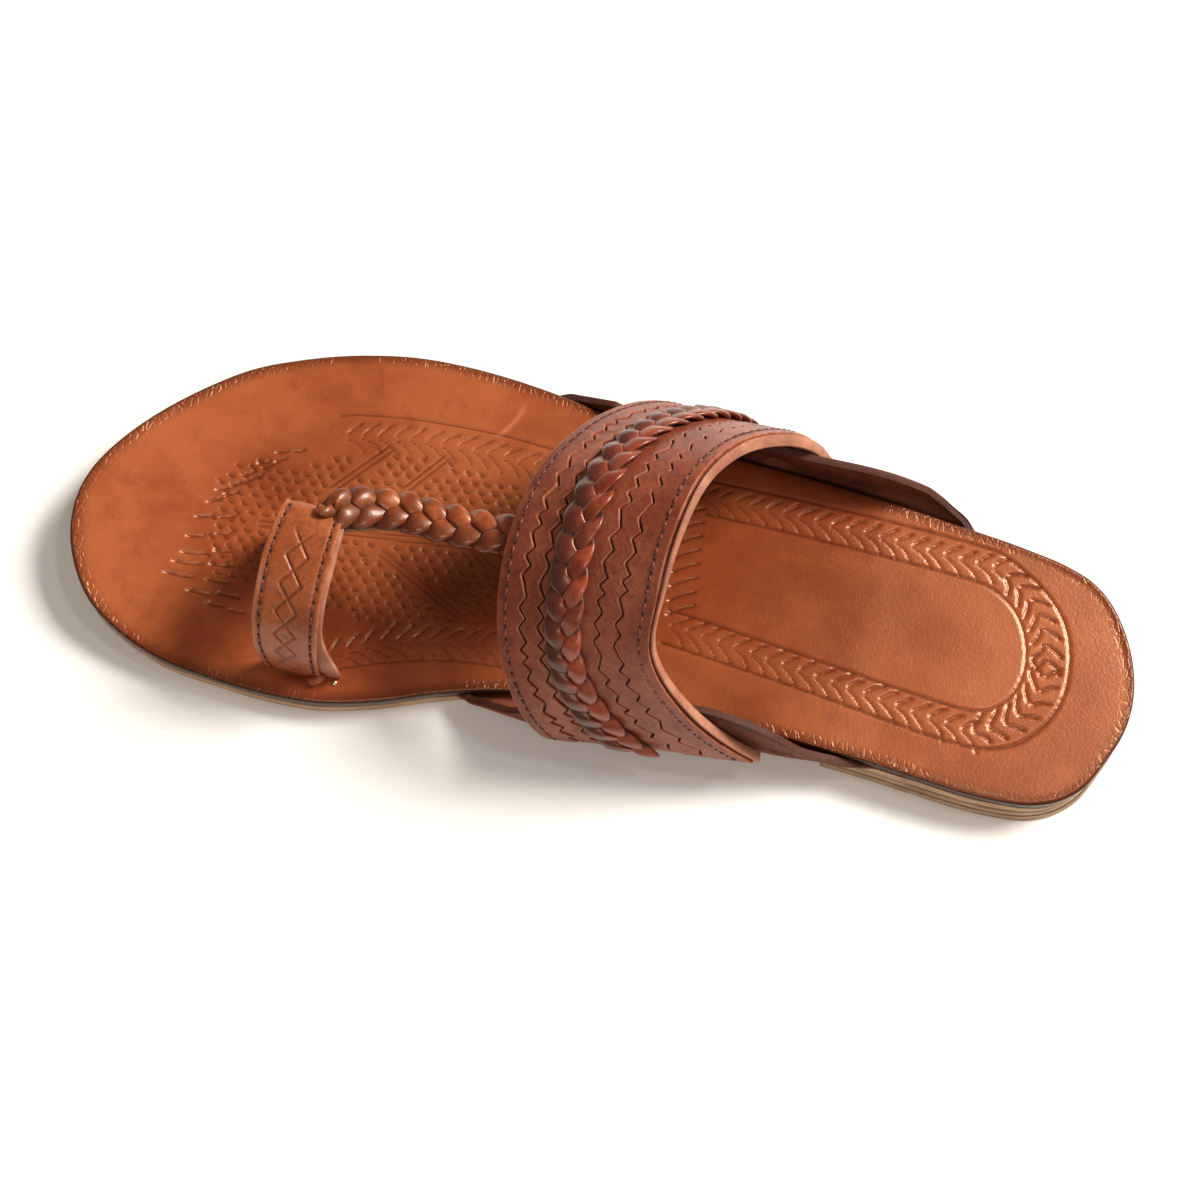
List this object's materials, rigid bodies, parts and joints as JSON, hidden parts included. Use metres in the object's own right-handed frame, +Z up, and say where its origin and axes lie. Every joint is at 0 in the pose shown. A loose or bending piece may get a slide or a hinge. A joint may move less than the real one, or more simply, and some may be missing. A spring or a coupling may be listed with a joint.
{
  "type": "kolhapuri sandal",
  "caption": "Flat leather toe-loop sandal with a plaited instep band, side ears, a layered sole and a low stacked heel; one right shoe, empty on its sole.",
  "frame": {"origin": "middle of the shoe's bounding box, on the ground under the sole", "axes": "+X to the toe, +Y to the big-toe side, +Z up"},
  "size_m": [0.2747, 0.1009, 0.066],
  "materials": {
    "outsole_leather": "raw cut edge, matt",
    "stacked_leather": "stacked layers, matt",
    "insole_leather": "polished and tooled",
    "ear_leather": "rough dark",
    "band_leather": "polished, pinked and stitched",
    "plait_leather": "polished plait"
  },
  "bodies": {
    "root": {"outsole": "outsole_leather", "heel_lift": "stacked_leather", "insole": "insole_leather", "ear_medial": "ear_leather", "ear_lateral": "ear_leather", "upper": "band_leather", "instep_plait": "plait_leather"}
  },
  "joints": []
}
